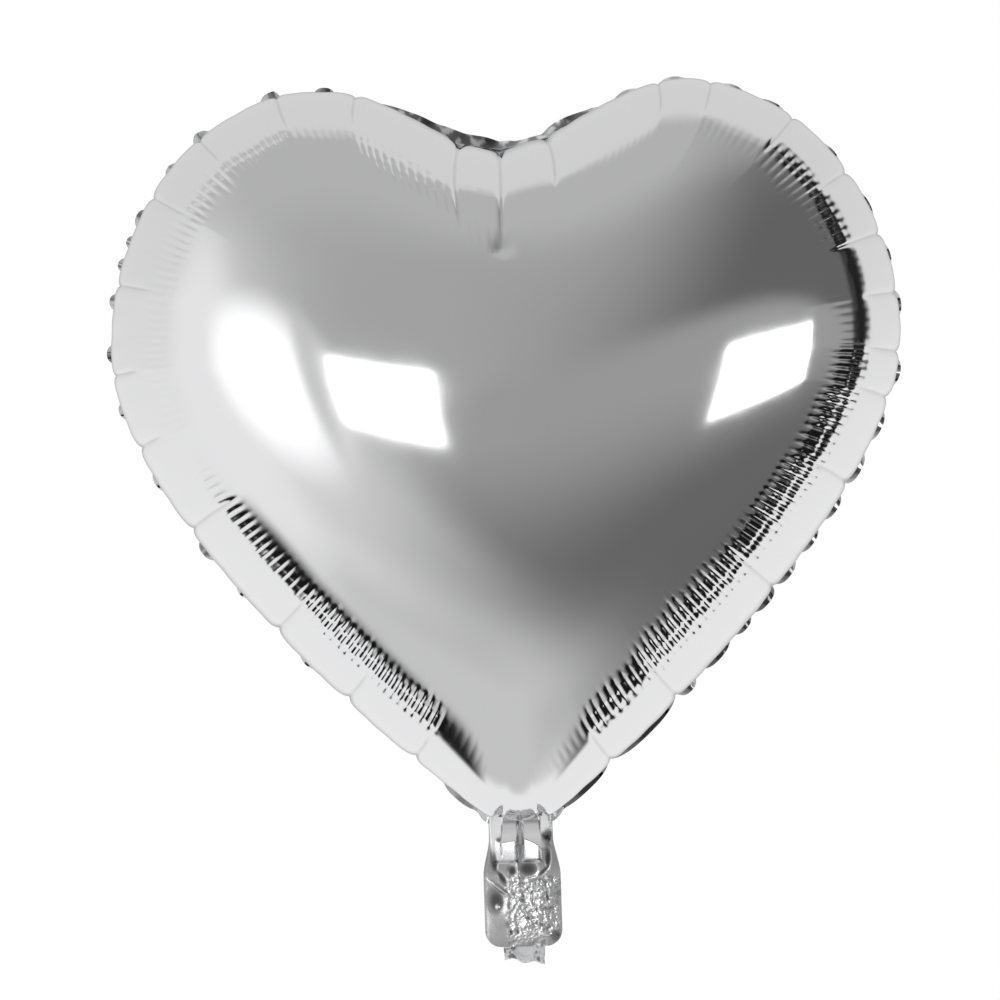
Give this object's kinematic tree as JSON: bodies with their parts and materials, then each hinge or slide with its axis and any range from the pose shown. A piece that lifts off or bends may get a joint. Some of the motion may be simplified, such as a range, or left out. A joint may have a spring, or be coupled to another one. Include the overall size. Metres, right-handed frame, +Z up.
{
  "type": "heart-shaped foil balloon",
  "caption": "Inflated heart-shaped balloon of silver metallised film, heat-sealed round the edge, with a filling tail and a flat self-sealing valve.",
  "frame": {"origin": "middle of the neck's fold line, where a ribbon or a stick's cup is tied round the tail", "axes": "+Z up from the tail to the lobes, +X across the heart to the viewer's right, -Y out of the front panel; the seal lies in the XZ plane"},
  "size_m": [0.39, 0.164, 0.43],
  "materials": {
    "silver_foil": "mirror-bright silver metallised film, smooth where it is taut, puckered into fine pleats along the seal",
    "fused_sealant": "fused polyethylene between the two metallised films, seen only as a thin edge",
    "clear_valve_film": "clear polyethylene film, slightly milky where it is creased"
  },
  "bodies": {
    "balloon": {"front_panel": "silver_foil", "back_panel": "silver_foil", "perimeter_seal": "fused_sealant", "valve_sleeve_front": "clear_valve_film", "valve_sleeve_back": "clear_valve_film"},
    "tail": {"tail_front_foil": "silver_foil", "tail_back_foil": "silver_foil", "tail_seal_left": "fused_sealant", "tail_seal_right": "fused_sealant", "valve_mouth_front": "clear_valve_film", "valve_mouth_back": "clear_valve_film"}
  },
  "joints": [
    {"name": "tail_fold", "type": "hinge", "parent": "balloon", "child": "tail", "pos_m": [0, 0, 0], "axis": [1, 0, 0], "range_deg": [-110, 110]}
  ]
}
